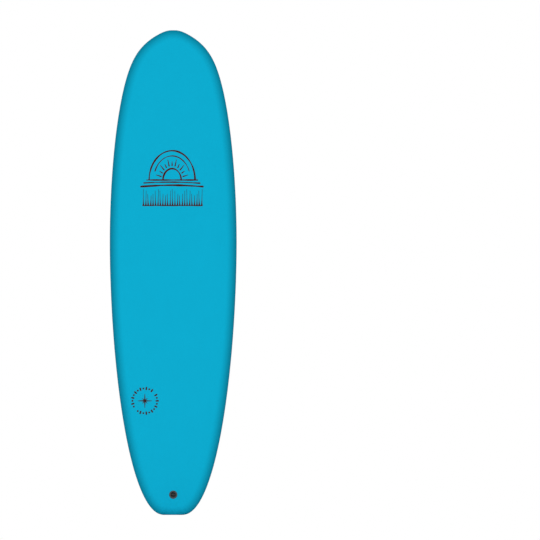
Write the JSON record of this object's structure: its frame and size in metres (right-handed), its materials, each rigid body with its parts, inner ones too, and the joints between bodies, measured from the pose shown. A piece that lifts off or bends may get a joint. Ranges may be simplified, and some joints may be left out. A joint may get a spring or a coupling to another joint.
{
  "type": "soft-top surfboard",
  "caption": "Foam surfboard with a soft deck, slick striped bottom, cut-off tail, leash plug and removable fins held in boxes by grub screws.",
  "frame": {"origin": "a point on the flat cut-off end of the tail, on the board's middle plane, 6 mm towards the deck from the seam", "axes": "+Z from tail to nose, -Y out of the deck, +Y out of the bottom where the fins are, +X to the right as one looks at the deck with the nose up"},
  "size_m": [0.5588, 0.2217, 2.1336],
  "materials": {
    "deck_foam": "closed-cell foam skin with a fine pebbled grain",
    "slick_bottom": "slick polyethylene sheet, printed",
    "moulded_nylon": "moulded, finely grained",
    "fin_nylon": "moulded glass-filled nylon, satin",
    "stainless_steel": "turned",
    "blank_foam": "moulded bead foam",
    "dense_foam": "dense cast foam",
    "stringer_wood": "laminated sheet, unvarnished"
  },
  "bodies": {
    "board": {"deck_skin": "deck_foam", "bottom_skin": "slick_bottom", "foam_core_left": "blank_foam", "foam_core_centre": "blank_foam", "foam_core_right": "blank_foam", "stringer_left": "stringer_wood", "stringer_right": "stringer_wood", "leash_plug_cup": "moulded_nylon", "leash_plug_pin": "moulded_nylon", "leash_plug_block": "dense_foam", "fin_box_left": "moulded_nylon", "fin_box_centre": "moulded_nylon", "fin_box_right": "moulded_nylon", "fin_box_block_left": "dense_foam", "fin_box_block_centre": "dense_foam", "fin_box_block_right": "dense_foam"},
    "left_fin": {"fin_left": "fin_nylon"},
    "centre_fin": {"fin_centre": "fin_nylon"},
    "right_fin": {"fin_right": "fin_nylon"},
    "left_front_screw": {"fin_screw_left_front": "stainless_steel"},
    "left_rear_screw": {"fin_screw_left_rear": "stainless_steel"},
    "centre_front_screw": {"fin_screw_centre_front": "stainless_steel"},
    "centre_rear_screw": {"fin_screw_centre_rear": "stainless_steel"},
    "right_front_screw": {"fin_screw_right_front": "stainless_steel"},
    "right_rear_screw": {"fin_screw_right_rear": "stainless_steel"}
  },
  "joints": [
    {"name": "left_fin_slide", "type": "slide", "parent": "board", "child": "left_fin", "axis": [-0.1426, 0.9887, -0.047], "range_m": [0, 0.03]},
    {"name": "centre_fin_slide", "type": "slide", "parent": "board", "child": "centre_fin", "axis": [0, 0.9968, -0.0795], "range_m": [0, 0.03]},
    {"name": "right_fin_slide", "type": "slide", "parent": "board", "child": "right_fin", "axis": [0.1426, 0.9887, -0.047], "range_m": [0, 0.03]},
    {"name": "left_front_screw_turn", "type": "hinge", "parent": "board", "child": "left_front_screw", "pos_m": [-0.15671, 0.04805, 0.49807], "axis": [0.5984, 0.7982, -0.0691], "range_deg": [0, 360]},
    {"name": "left_rear_screw_turn", "type": "hinge", "parent": "board", "child": "left_rear_screw", "pos_m": [-0.16002, 0.04397, 0.42225], "axis": [0.5984, 0.7982, -0.0691], "range_deg": [0, 360]},
    {"name": "centre_front_screw_turn", "type": "hinge", "parent": "board", "child": "centre_front_screw", "pos_m": [-0.0041, 0.0323, 0.2285], "axis": [-0.7071, 0.7049, -0.0562], "range_deg": [0, 360]},
    {"name": "centre_rear_screw_turn", "type": "hinge", "parent": "board", "child": "centre_rear_screw", "pos_m": [-0.0041, 0.02626, 0.15274], "axis": [-0.7071, 0.7049, -0.0562], "range_deg": [0, 360]},
    {"name": "right_front_screw_turn", "type": "hinge", "parent": "board", "child": "right_front_screw", "pos_m": [0.15671, 0.04805, 0.49807], "axis": [-0.5984, 0.7982, -0.0691], "range_deg": [0, 360]},
    {"name": "right_rear_screw_turn", "type": "hinge", "parent": "board", "child": "right_rear_screw", "pos_m": [0.16002, 0.04397, 0.42225], "axis": [-0.5984, 0.7982, -0.0691], "range_deg": [0, 360]}
  ]
}
